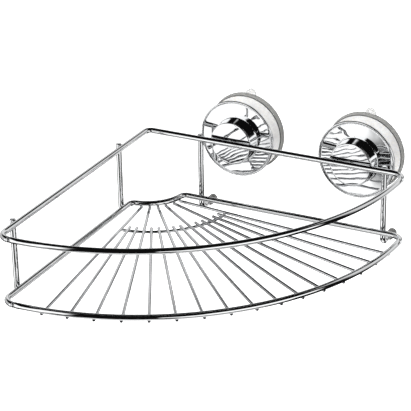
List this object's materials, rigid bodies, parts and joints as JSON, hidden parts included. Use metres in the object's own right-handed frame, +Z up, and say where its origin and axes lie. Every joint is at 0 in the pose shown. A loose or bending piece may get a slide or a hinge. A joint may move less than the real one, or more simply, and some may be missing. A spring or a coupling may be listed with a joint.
{
  "type": "corner shower caddy",
  "caption": "Quarter-round chromed wire corner basket with a fan-shaped wire shelf, hung from twist-lock suction cups on one straight side.",
  "frame": {"origin": "on the wall's face, midway between the axes of the two suction cups", "axes": "+Y points into the wall, +Z up, +X along the wall away from the room's corner"},
  "size_m": [0.2499, 0.2807, 0.1098],
  "materials": {
    "chromed_rail": "bright mirror chrome plating on steel wire",
    "chromed_shelf_wire": "bright mirror chrome plating on thin steel wire",
    "plated_dial": "mirror chrome plating on moulded plastic",
    "frosted_housing": "frosted, milky translucent plastic",
    "clear_pad": "clear soft vinyl, glossy, slightly milky",
    "stud_plastic": "plain satin natural nylon",
    "washer_plastic": "waxy white acetal",
    "nut_brass": "plain turned brass",
    "clear_bumper": "clear soft vinyl, glossy"
  },
  "bodies": {
    "basket": {"top_rail": "chromed_rail", "bottom_rail": "chromed_rail", "open_side_rear_post": "chromed_rail", "open_side_front_post": "chromed_rail", "cup_side_left_post": "chromed_rail", "left_wall_bumper": "clear_bumper", "left_hanging_pin": "chromed_rail", "cup_side_right_post": "chromed_rail", "right_wall_bumper": "clear_bumper", "right_hanging_pin": "chromed_rail", "shelf_wire_01": "chromed_shelf_wire", "shelf_wire_02": "chromed_shelf_wire", "shelf_wire_03": "chromed_shelf_wire", "shelf_wire_04": "chromed_shelf_wire", "shelf_wire_05": "chromed_shelf_wire", "shelf_wire_06": "chromed_shelf_wire", "shelf_wire_07": "chromed_shelf_wire", "shelf_wire_08": "chromed_shelf_wire", "shelf_wire_09": "chromed_shelf_wire", "shelf_wire_10": "chromed_shelf_wire", "shelf_wire_11": "chromed_shelf_wire", "shelf_wire_12": "chromed_shelf_wire", "shelf_wire_13": "chromed_shelf_wire", "shelf_wire_14": "chromed_shelf_wire", "shelf_wire_15": "chromed_shelf_wire", "shelf_wire_16": "chromed_shelf_wire", "shelf_cross_wire": "chromed_shelf_wire"},
    "left_cup": {"left_cup_housing": "frosted_housing", "left_thrust_washer": "washer_plastic"},
    "left_dial": {"left_twist_dial": "plated_dial", "left_lock_nut": "nut_brass"},
    "left_pad": {"left_suction_pad": "clear_pad", "left_pad_stud": "stud_plastic"},
    "right_cup": {"right_cup_housing": "frosted_housing", "right_thrust_washer": "washer_plastic"},
    "right_dial": {"right_twist_dial": "plated_dial", "right_lock_nut": "nut_brass"},
    "right_pad": {"right_suction_pad": "clear_pad", "right_pad_stud": "stud_plastic"}
  },
  "joints": [
    {"name": "left_cup_pull_off", "type": "slide", "parent": "basket", "child": "left_cup", "axis": [0, 1, 0], "range_m": [0, 0.02]},
    {"name": "left_dial_twist", "type": "hinge", "parent": "left_cup", "child": "left_dial", "pos_m": [-0.0555, 0, 0], "axis": [0, -1, 0], "range_deg": [0, 120]},
    {"name": "left_pad_travel", "type": "slide", "parent": "left_cup", "child": "left_pad", "axis": [0, 1, 0], "range_m": [0, 0.003]},
    {"name": "right_cup_pull_off", "type": "slide", "parent": "basket", "child": "right_cup", "axis": [0, 1, 0], "range_m": [0, 0.02]},
    {"name": "right_dial_twist", "type": "hinge", "parent": "right_cup", "child": "right_dial", "pos_m": [0.0555, 0, 0], "axis": [0, -1, 0], "range_deg": [0, 120]},
    {"name": "right_pad_travel", "type": "slide", "parent": "right_cup", "child": "right_pad", "axis": [0, 1, 0], "range_m": [0, 0.003]}
  ],
  "couplings": [
    {"joint": "left_pad_travel", "follows": "left_dial_twist", "m_per_rad": 0.00143},
    {"joint": "right_pad_travel", "follows": "right_dial_twist", "m_per_rad": 0.00143}
  ]
}
